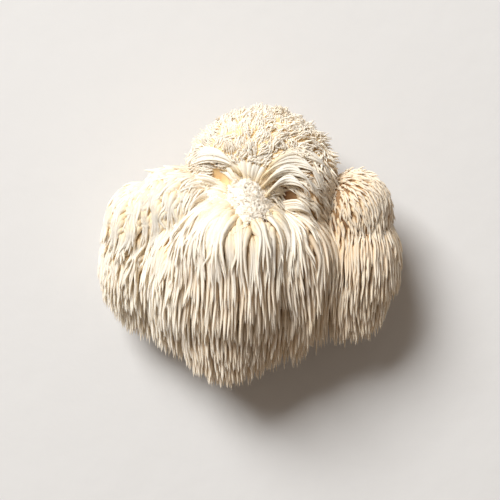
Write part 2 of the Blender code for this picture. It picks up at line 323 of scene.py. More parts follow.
# How a bundle fans out along its way and is domed across, the chance in each strand's place,
# height, length and thickness, and the fewest of its points that a strand keeps
BUNDLE_FAN = (0.7, 0.5)
BUNDLE_DOME = 0.8
STRAND_STRAY = 0.15
STRAND_HEIGHT_CHANCE = 0.25
STRAND_LENGTH_CHANCE = (0.8, 1.0)
STRAND_THICKNESS_CHANCE = (0.8, 1.2)
SHORTEST_STRAND = 4
# Points over the flesh are looked for down from this height, in this many halved steps
SEARCH_Z = 60.0
SEARCH_STEPS = 24

# The torn scar: its pad's middle, radii and dome, its knobs' number, scatter, chance in height
# and radii, and the voxel that melts the knobs together
PAD_MIDDLE = SCAR - np.array([0.3, 0.2])
PAD_RADII = (9.6, 7.84)
PAD_DOME = 3.2
KNOB_COUNT = 620
KNOB_SCATTER = 0.4
KNOB_HEIGHT_CHANCE = 0.3
KNOB_RADII = (0.55, 0.85)
PAD_VOXEL = 0.32
# Its roughness: the height of coarse and of fine lumps, and how many go on a millimetre
COARSE_LUMP, COARSE_LUMPS_PER_MM = 0.22, 0.9
FINE_LUMP, FINE_LUMPS_PER_MM = 0.18, 2.6
LUMP_ROUGHNESS, LUMP_STEP, LUMP_OCTAVES = 1.0, 2.0, 3
# Its torn fibres
FIBRE_COUNT = 420
FIBRE_RINGS = 5
FIBRE_SIDES = 4
FIBRE_SCATTER = 0.8
FIBRE_UPWARDS = np.array([0.0, 0.0, 0.6])
FIBRE_BEND = 0.5
FIBRE_LENGTHS = (1.5, 3.2)
FIBRE_RADII = (0.10, 0.20)
FIBRE_TIP = 0.4

# Flesh: the ball's subdivisions, how low it goes, how far off it its slope is read, how far a crease faces
# the heart's way out where it is painted brown as shade, and how far the pits' colours reach, in pit radii
# and in millimetres round the golden slot
FLESH_SUBDIVISIONS = 6
FLESH_LOWEST = 0.3
CREASE_PROBE = 0.01
CREASE_FACING = (0.25, 0.6)
BROWN_REACH = (0.8, 1.5)
GOLDEN_REACH = (3.0, 6.0)
# The gaps that the growth keeps to the sides and the floor of the solid's box
SIDE_INSET = 0.4
FLOOR_INSET = 0.1

# Colours that don't change with the settings: young wool at root, body and tip, its golden root partly
# painted glow of light through the flesh; flanks of ripe and of young spines, painted shade; a ripe lock's
# tint; young flesh, partly painted glow; and painted shade for flesh deep in a crease
YOUNG_SPINE_WITH_PAINTED_GLOW = ("#F5DCB0", "#FBF4E6", "#FDF8EE")
RIPE_PAINTED_FLANK_SHADE = "#E3CDAC"
YOUNG_PAINTED_FLANK_SHADE = "#F7E0BA"
UNTINTED, RIPE_TINT = "#FFFFFF", "#F5E8D6"
YOUNG_FLESH_WITH_PAINTED_GLOW = "#F2D3A0"
PAINTED_CREASE_SHADE = "#8F6A48"
# How far a spine's lock tint follows its own chance and its lock's, and a rib's chance
OWN_TINT, LOCK_TINT = 0.22, 0.3
RIB_TINT = (0.0, 0.4)

# Stage: the floor's side and the light's side and distance in metres, the light's way round from
# +Y and up in degrees, linear light colours, and the height at which the framed width is met
FLOOR_SIDE = 4.0
LIGHT_SIDE = 1.7
LIGHT_DISTANCE = 3.5
LIGHT_ROUND, LIGHT_UP = -36.0, 43.0
LIGHT_COLOUR = (1.0, 0.995, 0.98)
FILL_COLOUR = (1.0, 0.82, 0.67, 1.0)
FRAMED_Z = 0.030


# Shapes in numbers

def smooth(value, start, full):
    """0 before the start, 1 past the full mark, and an even S between them."""
    share = np.clip((value - start) / (full - start), 0.0, 1.0)
    return share * share * (3.0 - 2.0 * share)


def zone(points, name):
    """1 where points lie well inside a zone of the body, 0 outside it."""
    share = 1.0
    for axis, start, full in ZONES[name]:
        share = share * smooth(points[:, axis], start, full)
    return share


def unit(vectors):
    return vectors / np.maximum(np.linalg.norm(vectors, axis=-1, keepdims=True), 1e-9)


def dots(first, second):
    return (first * second).sum(-1, keepdims=True)


def across(points, middle):
    """How far points are from a middle in X and Y, seen from above."""
    return np.hypot(points[..., X] - middle[0], points[..., Y] - middle[1])


def head_reaches(directions):
    """How far each head reaches from the heart along each direction."""
    slopes = directions[:, None, :] / HEAD_RADII
    offsets = (HEART - HEAD_MIDDLES) / HEAD_RADII
    a = (slopes * slopes).sum(-1)
    b = (slopes * offsets).sum(-1)
    c = (offsets * offsets).sum(-1)
    nearest = -b / a
    miss = c - b * b / a
    hit = nearest + np.sqrt(np.clip(1.0 - miss, 0.0, None) / a)
    return np.where(miss > 1.0, nearest * np.exp((1.0 - miss) / SHOULDER), hit)


def reach(directions):
    """How far the flesh reaches from the heart along each direction."""
    reaches = head_reaches(directions)
    top = reaches.max(1)
    far = top + BLEND * np.log(np.exp((reaches - top[:, None]) / BLEND).sum(1))
    points = HEART + directions * far[:, None]
    facing_up = smooth(directions[:, Z], *HOLLOWS_FACE_UP)
    for x, y, radius, depth in HOLLOWS:
        away = across(points, (x, y)) / radius
        far = far - depth * np.exp(-away * away) * facing_up
    return far


def flesh_points(directions):
    """The flesh's points along these directions from the heart."""
    return HEART + directions * reach(directions)[:, None]


def from_heart(points):
    """Directions and distances of points from the heart."""
    offsets = points - HEART
    distances = np.linalg.norm(offsets, axis=1)
    return offsets / distances[:, None], distances


def height_above_flesh(points):
    directions, distances = from_heart(points)
    return distances - reach(directions)


def surface_at(points):
    """The flesh's outward direction near these points, and how far off its surface they are."""
    here = height_above_flesh(points)
    slopes = np.stack([height_above_flesh(points + SLOPE_STEP * axis) - here for axis in np.eye(3)], 1)
    steepness = np.linalg.norm(slopes, axis=1) / SLOPE_STEP
    return unit(slopes), here / steepness


def over_flesh(x, y, rise):
    """Points `rise` above the flesh, where X and Y are those seen from above."""
    points = np.stack([x, y, np.full_like(x, SEARCH_Z)], 1)
    for _ in range(SEARCH_STEPS):
        outward, _ = from_heart(points)
        points[:, Z] = 0.5 * (points[:, Z] + HEART[Z] + outward[:, Z] * reach(outward))
    points[:, Z] += rise
    return points


def even_directions(count):
    """Directions spread evenly over a sphere, along a spiral of golden angles."""
    order = np.arange(count) + 0.5
    height = 1.0 - 2.0 * order / count
    angle = GOLDEN_ANGLE * order
    ring = np.sqrt(1.0 - height * height)
    return np.stack([ring * np.cos(angle), ring * np.sin(angle), height], 1)


def drift(points, scale, seed):
    """A smooth random vector field, about 1 long, that changes over `scale` millimetres."""
    random = np.random.default_rng(seed)
    total = np.zeros_like(points)
    for _ in range(DRIFT_WAVES):
        wave = random.normal(0.0, 1.0, 3) / scale
        phase = random.uniform(0.0, FULL_TURN)
        total += np.sin(points @ wave + phase)[:, None] * random.normal(0.0, DRIFT_STRENGTH, 3)
    return total


def comb_direction(points, unrest):
    """Away from the scar on the crown, and towards -Y everywhere else."""
    away = np.zeros_like(points)
    away[:, :2] = points[:, :2] - SCAR
    sides = smooth(np.abs(points[:, X] - PULL_MIDDLE_X), *PULL_SIDES)
    pull = FRONT_PULL + BACK_PULL * (zone(points, "back") * (1.0 - PULL_SIDES_LOSS * sides))
    combed = unit(away) * pull[:, None] + np.array([0.0, -1.0, 0.0])
    return unit(combed + unrest[:, None] * drift(points, DRIFT_SCALE, DRIFT_SEED))


def pale_tone_and_painted_light(points):
    """How pale spines and flesh are painted: 1 on young flesh, on the crown, the top and the left, and 0
    on riper flesh at the front. This is partly their own tone and partly painted light, as the top and the
    left, which face the light, are painted paler and the right of the top darker.
    """
    top = zone(points, "pale_and_painted_lit_top")
    top *= 1.0 - RIPE_AND_PAINTED_SHADE_SHARE * zone(points, "ripe_and_painted_shade_right")
    left = PAINTED_LIT_LEFT_SHARE * zone(points, "painted_lit_left")
    return np.clip(np.maximum(zone(points, "crown"), np.maximum(top, left)), 0.0, 1.0)


# Growing spines

def tree_of(points):
    tree = kdtree.KDTree(len(points))
    for index, point in enumerate(points):
        tree.insert(point, index)
    tree.balance()
    return tree


def nearest_of(points, others):
    """For each point, the index of the nearest of the others."""
    tree = tree_of(others)
    return np.array([tree.find(point)[1] for point in points])


def thinned(points, spacing, random):
    """Indices of points that keep their spacing from each other."""
    tree = tree_of(points)
    free = np.ones(len(points), bool)
    kept = []
    for index in random.permutation(len(points)):
        if not free[index]:
            continue
        kept.append(index)
        for _, near, _ in tree.find_range(points[index], spacing[index]):
            free[near] = False
    return np.array(sorted(kept))


def tufts(random):
    """The middles of the tufts that the crown's wool grows in."""
    points = flesh_points(even_directions(TUFT_SPOTS))
    points = points[zone(points, "crown") > TUFTS_BEGIN]
    return points[thinned(points, np.full(len(points), TUFT_SPACING), random)]


def tuft_rise(points, middles):
    """How far tufts swell at these points, the way there from the nearest middle, and its tuft."""
    nearest = nearest_of(points, middles)
    off = points - middles[nearest]
    away = np.linalg.norm(off, axis=1)
    rise = TUFT_RISE + TUFT_RISE_RIGHT * zone(points, "crown_right")
    return rise * zone(points, "crown") * (1.0 - smooth(away, *TUFT_FALL)), off, nearest


def head_shares(points):
    """How much of each head's kind of spine stands at these points."""
    directions, _ = from_heart(points)
    reaches = head_reaches(directions)
    shares = np.exp((reaches - reaches.max(1)[:, None]) / HEAD_MIX)
    return shares / shares.sum(1)[:, None]


def points_from_above():
    """Points of the flesh on an even grid seen from above, which also reach its steep creases."""
    lines = [np.arange(-half, half, GRID_STEP) for half in GRID_HALF_SIDES]
    x, y = (side.ravel() for side in np.meshgrid(*lines))
    points = over_flesh(x, y, 0.0)
    found = (np.abs(height_above_flesh(points)) < GRID_ERROR) & (points[:, Z] > GRID_LOWEST)
    return points[found]


def bare_spots(points):
    """Where no spine has its root: under the body, in the scar, in the pits and among the ribs."""
    top = points[:, Z] > HEART[Z] + TOP_ABOVE_HEART
    from_scar = across(points, SCAR)
    bare = (from_scar < SPINE_FREE_RADIUS) & top
    for x, y, radius in BARE_PITS:
        bare |= (across(points, (x, y)) < radius) & top
    half_width = FAN_HALF_WIDTH + FAN_WIDENING * (points[:, Y] - SCAR[1])
    bare |= (from_scar < FAN_REACH) & (np.abs(points[:, X] - FRONT_MIDDLE_X) < half_width) & top
    return bare | (points[:, Z] < LOWEST_ROOT)


def spine_roots(settings, random):
    """Where spines stand on the flesh, and the flesh's outward direction there."""
    points = np.concatenate([flesh_points(even_directions(ROOT_SPOTS)), points_from_above()])
    points = points[~bare_spots(points)]
    normals = surface_at(points)[0]
    under = smooth(-normals[:, Z], *UNDER_SPARSE_FACING)
    spacing = head_shares(points) @ SPINE_SPACINGS * settings.spacing_scale
    spacing *= 1.0 + UNDER_SPARSENESS * under
    # The rim of the scar is thick with long spines, and few more join them on the way down
    rim_width = smooth(RIM_HALF_WIDTH - np.abs(points[:, X] - FRONT_MIDDLE_X), *RIM_EDGE)
    rim = zone(points, "high") * rim_width
    spacing *= 1.0 - RIM_CROWDING * rim * zone(points, "rim_back")
    kept = thinned(points, spacing, random)
    return points[kept], normals[kept]


def spine_traits(roots, normals, settings, random):
    """What each spine takes from the heads that it grows on, and from chance."""
    count = len(roots)
    shares = head_shares(roots)
    crown = zone(roots, "crown")
    left = zone(roots, "left_locks")
    rim = np.maximum(zone(roots, "rim") * (1.0 - crown), LEFT_AS_RIM * left * (1.0 - crown))
    length = shares @ SPINE_LENGTHS * settings.length_scale * random.uniform(*LENGTH_CHANCE, count)
    length *= 1.0 - UNDER_SHORTNESS * smooth(-normals[:, Z], *UNDER_SHORT_FACING)
    radius = shares @ SPINE_RADII * settings.thickness_scale
    radius *= random.uniform(*THICKNESS_CHANCE, count)
    return SimpleNamespace(
        crown=crown,
        woolly=crown > 0.5,
        left=left,
        rim=rim,
        length=length,
        radius=radius,
        curl=shares @ SPINE_CURLS * settings.curl,
        stand=shares @ SPINE_STANDS,
        lift=np.radians(shares @ SPINE_LIFTS * random.uniform(*LIFT_CHANCE, count)),
        sway=random.normal(0.0, 1.0, (count, 3)),
        swirl=random.uniform(0.0, FULL_TURN, count),
    )


def group_spines(roots, spines, settings, random):
    """Gives each spine the leader that it is drawn to, its lock's tint and its tuft's lean."""
    tuft_swirl = random.uniform(0.0, FULL_TURN, MANY_TUFTS)
    leaders = thinned(roots, np.full(len(roots), LOCK_SPACING), random)
    nearest = nearest_of(roots, roots[leaders])
    spines.tint = random.uniform(0.0, 1.0, len(leaders))[nearest]
    spines.rise, off_middle, tuft = tuft_rise(roots, grown_tufts(settings))
    spines.lean = unit(random.normal(0.0, 1.0, (tuft.max() + 1, 3)))[tuft]
    # A tuft's leader is its strand nearest the middle
    order = np.lexsort((np.linalg.norm(off_middle, axis=1), tuft))
    first = order[np.r_[True, np.diff(tuft[order]) > 0]]
    tuft_leader = np.zeros(tuft.max() + 1, int)
    tuft_leader[tuft[first]] = first
    spines.leader = np.where(spines.woolly, tuft_leader[tuft], leaders[nearest])
    with_tuft = tuft_swirl[tuft] + WOOL_SWIRL_CHANCE * spines.swirl
    spines.swirl = np.where(spines.woolly, with_tuft, spines.swirl)


def spine_lines(roots, normals, spines):
    """The middle line of each spine, grown ring by ring from just inside the flesh."""
    place = roots + normals * (spines.rise - ROOT_DEPTH)[:, None]
    step = ((spines.length + ROOT_DEPTH) / (SPINE_RINGS - 1))[:, None]
    unrest = UNREST + UNREST_BY_CURL * spines.curl + UNREST_ON_LEFT * spines.left
    upright = normals
    lines = [place]
    for ring in range(1, SPINE_RINGS):
        share = ring / (SPINE_RINGS - 1)
        bend = smooth(share, *BENT_OVER)
        comb = comb_direction(place, unrest)
        # Spines hang parallel; only where the flesh is in their way do they lie along it
        outwards = dots(comb, upright)
        hug = HUG + HUG_SIDEWAYS * smooth(comb[:, 1:2], *SIDEWAYS)
        along = unit(comb - upright * np.where(outwards < 0.0, outwards, hug * outwards))
        side = unit(np.cross(along, upright))
        turn = spines.swirl + CURL_TURN * share
        curve = side * np.cos(turn)[:, None] + upright * np.sin(turn)[:, None]
        along = unit(along + spines.lean * (TUFT_LEAN * spines.crown)[:, None]
                     + WOOL_SWAY * spines.sway * spines.crown[:, None])
        heading = normals * ((1.0 - bend) * spines.stand)[:, None] + along * (bend + ROOT_RUN)
        heading += (spines.sway * (SWAY + SWAY_BY_STAND * spines.stand)[:, None]
                    + curve * (CURL_BOW * spines.curl)[:, None])
        place = place + unit(heading) * step
        upright, above = surface_at(place)
        clearance = (spines.radius * FLESH_GAP + np.sin(spines.lift) * spines.length * share
                     + spines.rise * (1.0 - RISE_FADE * share))
        place = place + upright * np.clip(clearance - above, 0.0, LARGEST_PUSH)[:, None]
        place[:, Z] = np.maximum(place[:, Z], spines.radius * FLOOR_RADII)
        lines.append(place)
    return np.stack(lines, 1)


def gathered(lines, spines, clumping):
    """Spines drawn together into locks below the root, and parted again at their tips."""
    share = np.linspace(0.0, 1.0, SPINE_RINGS)
    woolly = spines.woolly[:, None]
    grip = smooth(share, *GRIP_CLOSES) * (1.0 - GRIP_OPENING * smooth(share, *GRIP_OPENS))
    grip = grip[None] * (LOCK_GRIP + LOCK_GRIP_RIM * spines.rim)[:, None] * ~woolly
    grip = grip + (TUFT_GRIP * smooth(share, *TUFT_GRIP_CLOSES))[None] * woolly
    grip = grip * clumping
    return lines + grip[:, :, None] * (lines[spines.leader] - lines)


def spine_radii(spines):
    """Each spine's radius at each ring: icicles on the body, blunt threads in the wool."""
    share = np.linspace(0.0, 1.0, SPINE_RINGS)
    pointed = np.interp(share, *SPINE_PROFILE)
    blunt = np.interp(share, *WOOL_PROFILE)
    profile = pointed[None] + (blunt - pointed)[None] * spines.woolly[:, None]
    swollen = 1.0 - smooth(share, *SWELLING_ENDS)
    return spines.radius[:, None] * (profile + RIM_SWELLING * spines.rim[:, None] * swollen[None])


def clear_of_pits(lines):
    """Which spines keep out of the bare pits."""
    hanging = lines[:, 2:]
    clear = np.ones(len(lines), bool)
    for x, y, radius in BARE_PITS:
        inside = across(hanging, (x, y)) < PIT_CLEARANCE * radius
        clear &= ~(inside & (hanging[..., Z] > PITS_Z)).any(1)
    return clear


def every_other_ring(rows):
    """Every other ring of each spine and its tip, which is enough for short wool."""
    kept = rows[:, ::2].copy()
    kept[:, -1] = rows[:, -1]
    return kept


def tube_mesh(lines, radii, sides):
    """Closed tapered tubes: corners, faces, and each corner's share of the way to the tip and how
    far it faces away from the heart."""
    count, rings, _ = lines.shape
    headings = unit(np.gradient(lines, axis=1))
    seam = unit(np.cross(lines[:, -1] - lines[:, 0], TUBE_SEAM))[:, None, :]
    first = unit(seam - headings * dots(seam, headings))
    second = np.cross(headings, first)
    turns = np.arange(sides) * FULL_TURN / sides
    circle = (first[:, :, None, :] * np.cos(turns)[None, None, :, None]
              + second[:, :, None, :] * np.sin(turns)[None, None, :, None])
    corners = lines[:, :, None, :] + circle * radii[:, :, None, None]
    corners = corners.reshape(count, rings * sides, 3)
    outwards = unit(lines - HEART)[:, :, None, :]
    facing = dots(circle, outwards).reshape(count, rings * sides)
    facing = np.concatenate([facing, np.ones((count, 1))], 1).ravel()
    tips = lines[:, -1] + headings[:, -1] * radii[:, -1, None] * TIP_RADII
    corners = np.concatenate([corners, tips[:, None]], 1)
    each = rings * sides + 1
    walls = [(low + side, low + (side + 1) % sides, low + sides + (side + 1) % sides, low + sides + side)
             for low in range(0, (rings - 1) * sides, sides) for side in range(sides)]
    last = (rings - 1) * sides
    ends = [(last + side, last + (side + 1) % sides, each - 1) for side in range(sides)]
    starts = np.arange(count)[:, None, None] * each
    faces = (np.array(walls)[None] + starts).reshape(-1, 4).tolist()
    faces += (np.array(ends)[None] + starts).reshape(-1, 3).tolist()
    faces += (np.arange(sides)[::-1][None] + starts[:, 0]).tolist()
    along = np.append(np.repeat(np.linspace(0.0, 1.0, rings), sides), 1.0)
    return corners.reshape(-1, 3), faces, np.tile(along, count), facing


# Ribs, arches and the scar

def smooth_route(points, count):
    """A smooth curve through the points, read at even steps."""
    points = np.asarray(points, float)
    places = np.linspace(0.0, len(points) - 1.0, count)
    slopes = np.gradient(points, axis=0)
    index = np.minimum(places.astype(int), len(points) - 2)
    share = (places - index)[:, None]
    start, end = points[index], points[index + 1]
    first, last = slopes[index], slopes[index + 1]
    return ((2 * share ** 3 - 3 * share ** 2 + 1) * start + (share ** 3 - 2 * share ** 2 + share) * first
            + (3 * share ** 2 - 2 * share ** 3) * end + (share ** 3 - share ** 2) * last)


def fan_ribs(random):
    """Smooth ribs that rise from the scar to the crown, each with its radii."""
    share = np.linspace(0.0, 1.0, RIB_RINGS)
    for angle in np.linspace(*RIB_FAN, RIB_COUNT):
        turn = math.radians(angle + random.uniform(-RIB_STRAY, RIB_STRAY))
        out = RIB_START + (random.uniform(*RIB_ENDS) - RIB_START) * share
        sweep = turn + RIB_SWEEP * math.sin(turn) * share ** 2
        x = SCAR[0] + out * np.sin(sweep)
        y = SCAR[1] + out * np.cos(sweep)
        thick = random.uniform(*RIB_RADII)
        rise = RIB_BOW * np.sin(share * math.pi) * random.uniform(0.0, 1.0) - RIB_SINK * thick
        yield over_flesh(x, y, rise), thick * np.interp(share, *RIB_PROFILE)


def bundle_strands(random):
    """The strands of the bundles that arch over the scar's cavities, each with its radii."""
    share = np.linspace(0.0, 1.0, RIB_RINGS)
    for route, count, thick, spread in BUNDLES.values():
        middle = smooth_route(route, RIB_RINGS)
        sideways = unit(np.gradient(middle[:, :2], axis=0))[:, ::-1] * PHOTO_AXES
        on_body = middle[:, :2] * PIXEL_MM * PHOTO_AXES + PHOTO_CORNER
        for strand in range(count):
            shift = spread * ((strand + 0.5) / count - 0.5) * 2.0
            fan = shift * (BUNDLE_FAN[0] + BUNDLE_FAN[1] * share)
            fan = fan + random.normal(0.0, STRAND_STRAY) * share
            dome = np.sqrt(max(0.0, 1.0 - (shift / spread) ** 2)) * BUNDLE_DOME
            stop = random.uniform(*STRAND_LENGTH_CHANCE)
            places = on_body + sideways * fan[:, None]
            rise = middle[:, 2] + dome + random.normal(0.0, STRAND_HEIGHT_CHANCE)
            line = over_flesh(places[:, X], places[:, Y], rise)
            line = smooth_route(line[:max(SHORTEST_STRAND, int(RIB_RINGS * stop))], RIB_RINGS)
            radius = thick * random.uniform(*STRAND_THICKNESS_CHANCE)
            yield line, radius * np.interp(share, *STRAND_PROFILE)


def rib_lines(random):
    """All ribs and strands, with their radii."""
    lines, radii = zip(*fan_ribs(random), *bundle_strands(random))
    return np.array(lines), np.array(radii)


def scar_knobs(random):
    """Where the torn knobs of the scar sit, and how big they are."""
    order = np.arange(KNOB_COUNT)
    away = np.sqrt((order + 0.5) / KNOB_COUNT)
    turn = GOLDEN_ANGLE * order
    scatter = random.normal(0.0, KNOB_SCATTER, (2, KNOB_COUNT))
    x = PAD_MIDDLE[0] + PAD_RADII[0] * away * np.cos(turn) + scatter[0]
    y = PAD_MIDDLE[1] + PAD_RADII[1] * away * np.sin(turn) + scatter[1]
    spots = over_flesh(x, y, 0.0)
    # The pad is one smooth swelling, whatever lies under it
    terms = np.stack([np.ones(KNOB_COUNT), x, y, x * x, y * y], 1)
    fit = np.linalg.lstsq(terms, spots[:, Z], rcond=None)[0]
    height = random.uniform(-KNOB_HEIGHT_CHANCE, KNOB_HEIGHT_CHANCE, KNOB_COUNT)
    spots[:, Z] = terms @ fit + PAD_DOME * (1.0 - away ** 2) + height
    return spots, random.uniform(*KNOB_RADII, KNOB_COUNT)


def scar_fibres(random, spots):
    """Short torn fibres over the scar."""
    pick = random.integers(0, len(spots), FIBRE_COUNT)
    start = spots[pick] + random.normal(0.0, FIBRE_SCATTER, (FIBRE_COUNT, 3))
    heading = unit(random.normal(0.0, 1.0, (FIBRE_COUNT, 3)) + FIBRE_UPWARDS)
    bend = random.normal(0.0, FIBRE_BEND, (FIBRE_COUNT, 3))
    share = np.linspace(0.0, 1.0, FIBRE_RINGS)[None, :, None]
    length = random.uniform(*FIBRE_LENGTHS, FIBRE_COUNT)[:, None, None]
    lines = start[:, None] + heading[:, None] * share * length + bend[:, None] * share ** 2 * length
    taper = np.linspace(1.0, FIBRE_TIP, FIBRE_RINGS)[None]
    return lines, random.uniform(*FIBRE_RADII, FIBRE_COUNT)[:, None] * taper


# The whole growth, worked out once and fitted to the solid's box

GROWTH = {}


def grown_tufts(settings):
    if "tufts" not in GROWTH:
        GROWTH["tufts"] = tufts(np.random.default_rng(settings.seed))
    return GROWTH["tufts"]


def grown():
    """All spines, by piece, and the lowest and highest corner of their box."""
    if "pieces" in GROWTH:
        return GROWTH
    settings = bpy.context.scene.lions_mane
    random = np.random.default_rng(settings.seed)
    roots, normals = spine_roots(settings, random)
    spines = spine_traits(roots, normals, settings, random)
    group_spines(roots, spines, settings, random)
    lines = gathered(spine_lines(roots, normals, spines), spines, settings.clumping)
    radii = spine_radii(spines)
    families = np.array([PIECE_OF_HEAD[name.split("_")[0]] for name in HEADS])
    piece = families[head_shares(roots).argmax(1)]
    piece = np.where(normals[:, Z] < UNDER_FACING, "under_spines", piece)
    high_up = (piece == "front_spines") & (roots[:, Z] > UPPER_FRONT_Z)
    piece = np.where(high_up, "front_upper_spines", piece)
    clear = clear_of_pits(lines)
    pale = pale_tone_and_painted_light(roots)
    corners = lines.reshape(-1, 3)
    GROWTH["low"] = np.append(corners.min(0)[:2], 0.0)
    GROWTH["high"] = corners.max(0)
    GROWTH["pieces"] = {}
    for name in sorted(set(piece[clear])):
        chosen = clear & (piece == name)
        GROWTH["pieces"][name] = (lines[chosen], radii[chosen], spines.tint[chosen], pale[chosen])
    return GROWTH


def to_frame(points):
    """Millimetres of growth to metres of the frame, so that the growth fills the solid's box."""
    low, high = grown()["low"], grown()["high"]
    box_low, box_high = (np.array(corner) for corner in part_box(NODE))
    inset = SIDE_INSET * MM
    sides = box_high - box_low - 2.0 * inset
    share = (points - low) / (high - low)
    placed = box_low + inset + share * sides
    placed[:, Z] = box_low[Z] + FLOOR_INSET * MM + share[:, Z] * (sides[Z] + inset)
    return placed


# Blender objects

def deselect_all():
    for thing in bpy.context.selected_objects:
        thing.select_set(False)


def tube_object(name, lines, radii, sides, material, **marks):
    """Tubes as one object, with a value for each tube under each mark's name."""
    corners, faces, along, facing = tube_mesh(lines, radii, sides)
    data = bpy.data.meshes.new(name)
    data.from_pydata(to_frame(corners).tolist(), [], faces)
    data.update()
    data.shade_smooth()
    made = bpy.data.objects.new(name, data)
    bpy.context.scene.collection.objects.link(made)
    data.materials.append(material)
    mark(made, "along", along)
    mark(made, "facing", facing)
    for key, values in marks.items():
        mark(made, key, np.repeat(values, len(along) // len(lines)))
    return made


def mark(made, name, values):
    """Gives each corner a value that the materials read by name."""
    attribute = made.data.attributes.new(name, "FLOAT", "POINT")
    attribute.data.foreach_set("value", np.asarray(values, np.float32))


def as_piece(made):
    """Puts a finished piece on its body, in place of the solid."""
    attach(made, BODY)
    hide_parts(NODE)


# Materials

def linear(hex_colour):
    """An sRGB hex colour as linear RGBA."""
    values = [int(hex_colour[start:start + 2], 16) / 255.0 for start in (1, 3, 5)]
    bent = [value / 12.92 if value <= 0.04045 else ((value + 0.055) / 1.055) ** 2.4 for value in values]
    return (*bent, 1.0)


def noise_scale(spacing):
    """The scale of a noise pattern whose patches lie `spacing` millimetres apart."""
    return 1.0 / (spacing * MM)


def add_node(tree, kind, settings=None, inputs=None, stops=()):
    """A node with its settings, its inputs' values and links, and the stops of a colour ramp."""
    node = tree.nodes.new(kind)
    for key, value in (settings or {}).items():
        setattr(node, key, value)
    for key, value in (inputs or {}).items():
        if isinstance(value, bpy.types.NodeSocket):
            tree.links.new(value, node.inputs[key])
        else:
            node.inputs[key].default_value = value
    for _ in range(len(stops) - 2):
        node.color_ramp.elements.new(0.5)
    for index, (place, colour) in enumerate(stops):
        node.color_ramp.elements[index].position = place
        node.color_ramp.elements[index].color = linear(colour)
    return node


def new_material(name):
    """A material, its nodes, and the coordinates that its patterns lie on."""
    material = bpy.data.materials.new(name)
    material.use_nodes = True
    place = add_node(material.node_tree, "ShaderNodeTexCoord").outputs["Object"]
    return material, material.node_tree, place


def finish_surface(tree, colour, normal, values):
    """Sets the surface's colour, its bump and the rest of its values."""
    shader = tree.nodes["Principled BSDF"]
    tree.links.new(normal, shader.inputs["Normal"])
    if colour:
        tree.links.new(colour, shader.inputs["Base Color"])
    for name, value in values.items():
        shader.inputs[name].default_value = value


def fungus_finish(roughness):
    """Fresh fungus flesh: a matte skin over a milky body that light enters by about 0.7 mm."""
    return {
        "Roughness": roughness,
        "IOR": 1.4,
        "Specular IOR Level": 0.35,
        "Subsurface Weight": 0.3,
        "Subsurface Radius": (1.0, 0.94, 0.90),
        "Subsurface Scale": 0.7 * MM,
    }


def spine_material(name, root, body, tip):
    """Fungus spines: tan and moist at the root, the tan partly their own and partly painted shade of the
    deep gaps between them, ivory along the body, near white at the dry tip.
    """
    material, tree, place = new_material(name)
    along, facing, strand, pale = (
        add_node(tree, "ShaderNodeAttribute", {"attribute_name": key}).outputs["Fac"]
        for key in ("along", "facing", "strand", "pale"))
    # Painted shade in part: the colour turns tan towards the root, deep in the gaps between the spines
    ripe = add_node(tree, "ShaderNodeValToRGB", {}, {"Fac": along},
                    ((0.0, root), (0.5, body), (0.9, tip), (1.0, tip)))
    # Paler colours where spines are young, and where the top and the lower left are painted paler as
    # painted light
    young = add_node(tree, "ShaderNodeValToRGB", {}, {"Fac": along},
                     tuple(zip((0.0, 0.35, 1.0), YOUNG_SPINE_WITH_PAINTED_GLOW)))
    by_age_and_painted_light = add_node(tree, "ShaderNodeMix", {"data_type": "RGBA"}, {
        "Factor": pale, "A": ripe.outputs["Color"], "B": young.outputs["Color"]})
    # Painted shade: the flanks that face the flesh are painted a darker, warmer colour, which stands in
    # for their shade and for the warm light that went through the flesh
    painted_flank_shade = add_node(tree, "ShaderNodeMapRange", {}, {
        "Value": facing, "From Min": 0.75, "From Max": -0.35, "To Max": 0.4})
    warm = add_node(tree, "ShaderNodeMix", {"data_type": "RGBA"}, {
        "Factor": pale, "A": linear(RIPE_PAINTED_FLANK_SHADE), "B": linear(YOUNG_PAINTED_FLANK_SHADE)})
    with_painted_flank_shade = add_node(tree, "ShaderNodeMix", {"data_type": "RGBA"}, {
        "Factor": painted_flank_shade.outputs["Result"], "A": by_age_and_painted_light.outputs["Result"], "B": warm.outputs["Result"]})
    # Patches of the body, 18 mm apart, are riper than others, and so are some locks
    patches = add_node(tree, "ShaderNodeTexNoise", {}, {
        "Vector": place, "Scale": noise_scale(18.2), "Detail": 2.0})
    riper = add_node(tree, "ShaderNodeMath", {"operation": "MULTIPLY_ADD", "use_clamp": True}, {
        0: patches.outputs["Fac"], 1: 0.5, 2: strand})
    tint = add_node(tree, "ShaderNodeValToRGB", {}, {"Fac": riper.outputs["Value"]},
                    ((0.2, UNTINTED), (1.0, RIPE_TINT)))
    # Young wool is even in colour, so the tint fades there
    fade = add_node(tree, "ShaderNodeMapRange", {}, {"Value": pale, "To Min": 1.0, "To Max": 0.35})
    tinted = add_node(tree, "ShaderNodeMix", {"data_type": "RGBA", "blend_type": "MULTIPLY"}, {
        "Factor": fade.outputs["Result"], "A": with_painted_flank_shade.outputs["Result"], "B": tint.outputs["Color"]})
    # Fine grain of the skin, 0.4 mm
    grain = add_node(tree, "ShaderNodeTexNoise", {}, {
        "Vector": place, "Scale": noise_scale(0.4), "Detail": 2.0})
    bump = add_node(tree, "ShaderNodeBump", {}, {
        "Height": grain.outputs["Fac"], "Strength": 0.15, "Distance": 0.2 * MM})
    finish_surface(tree, tinted.outputs["Result"], bump.outputs["Normal"], fungus_finish(0.6))
    return material


